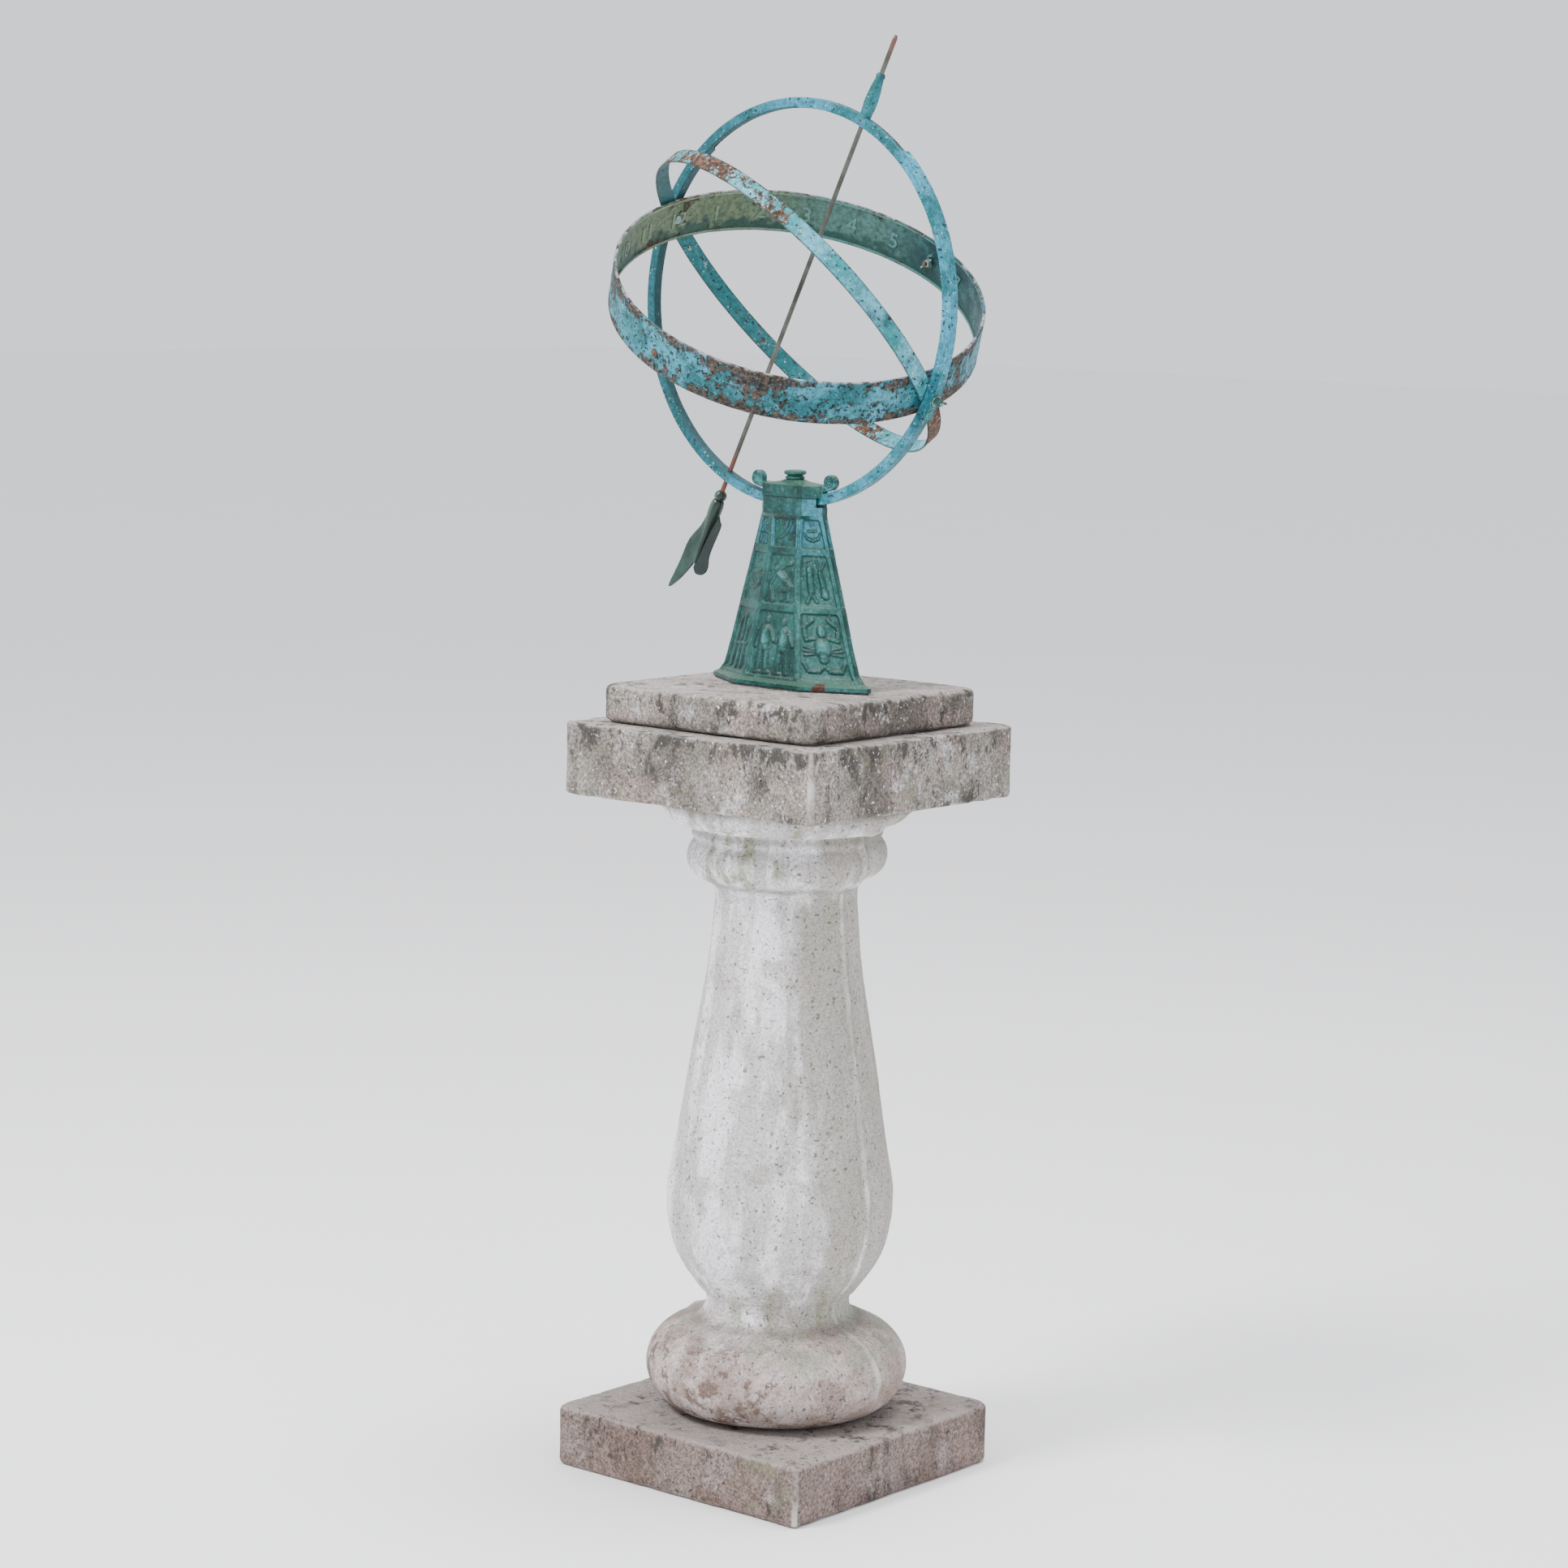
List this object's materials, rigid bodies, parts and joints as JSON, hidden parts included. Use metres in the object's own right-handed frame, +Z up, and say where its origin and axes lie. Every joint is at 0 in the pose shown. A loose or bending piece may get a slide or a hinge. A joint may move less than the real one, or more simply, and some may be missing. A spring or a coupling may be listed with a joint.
{
  "type": "armillary sphere sundial on pedestal",
  "caption": "Armillary sundial: meridian ring, tilting hour and ecliptic bands and a gnomon rod with vaned tail, on a cast pillar and a stone baluster pedestal.",
  "frame": {"origin": "centre of the plinth's underside", "axes": "+Z up; the meridian ring stands in the XZ plane, and the gnomon leans towards +X as it rises; the pillar's broad relief face looks towards -Y"},
  "size_m": [0.4697, 0.4298, 1.6769],
  "materials": {
    "stone": "matte",
    "pale_stone": "matte",
    "mortar": "matte",
    "verdigris": "matte",
    "green_bronze": "satin",
    "dark_bronze": "satin",
    "pale_bronze": "satin",
    "rod_steel": "satin",
    "rusty_steel": "matte",
    "lead": "matte"
  },
  "bodies": {
    "stand": {"plinth_block": "stone", "foot_mortar": "mortar", "foot_dowel": "rusty_steel", "baluster": "pale_stone", "capital_mortar": "mortar", "capital_dowel_left": "rusty_steel", "capital_dowel_right": "rusty_steel", "lower_slab": "stone", "slab_mortar": "mortar", "upper_slab": "stone", "pillar_lead": "lead", "dial_pillar": "green_bronze", "pillar_cap": "green_bronze", "tie_rod": "rusty_steel", "tie_washer": "rusty_steel", "tie_nut": "rusty_steel", "ring_end_screw_left": "rusty_steel", "ring_end_screw_right": "rusty_steel", "meridian_ring": "verdigris", "splice_strip": "verdigris", "strip_rivet": "verdigris", "point_boss": "verdigris", "rod_set_screw_lower": "rusty_steel", "rod_set_screw_upper": "rusty_steel", "node_bolt_upper": "pale_bronze", "node_spacer_upper": "pale_bronze", "node_washer_upper": "pale_bronze", "node_bolt_lower": "pale_bronze", "node_spacer_lower": "pale_bronze", "node_washer_lower": "pale_bronze"},
    "finial": {"finial_nut": "green_bronze"},
    "upper_nut": {"node_wing_nut_upper": "green_bronze"},
    "lower_nut": {"node_wing_nut_lower": "green_bronze"},
    "hour_ring": {"hour_band": "verdigris", "band_bolt": "rusty_steel", "band_screw": "rusty_steel", "band_nut": "rusty_steel"},
    "hour_nut": {"band_wing_nut": "pale_bronze"},
    "ecliptic_ring": {"ecliptic_band": "verdigris"},
    "gnomon": {"gnomon_rod": "rod_steel", "tail_collar": "dark_bronze", "tail_vanes": "dark_bronze", "tail_pin": "rusty_steel"}
  },
  "joints": [
    {"name": "hour_band_tilt", "type": "hinge", "parent": "stand", "child": "hour_ring", "pos_m": [-0.003, 0, 1.3744], "axis": [0.9011, 0, -0.4337], "range_deg": [-86, 56]},
    {"name": "ecliptic_tilt", "type": "hinge", "parent": "stand", "child": "ecliptic_ring", "pos_m": [-0.003, 0, 1.3744], "axis": [0.9011, 0, -0.4337], "range_deg": [-35, 119]},
    {"name": "gnomon_turn", "type": "hinge", "parent": "stand", "child": "gnomon", "pos_m": [-0.0066, 0, 1.37614], "axis": [0.4337, 0, 0.9011], "continuous": true},
    {"name": "hour_nut_turn", "type": "hinge", "parent": "hour_ring", "child": "hour_nut", "pos_m": [0.02028, 0.20615, 1.42276], "axis": [0.1152, 0.9641, 0.2393], "continuous": true},
    {"name": "upper_nut_turn", "type": "hinge", "parent": "stand", "child": "upper_nut", "pos_m": [-0.21655, 0, 1.47718], "axis": [-0.9011, 0, 0.4337], "continuous": true},
    {"name": "lower_nut_turn", "type": "hinge", "parent": "stand", "child": "lower_nut", "pos_m": [0.21055, 0, 1.27162], "axis": [0.9011, 0, -0.4337], "continuous": true},
    {"name": "finial_turn", "type": "hinge", "parent": "stand", "child": "finial", "pos_m": [0, 0, 1.1775], "axis": [0, 0, 1], "continuous": true}
  ]
}
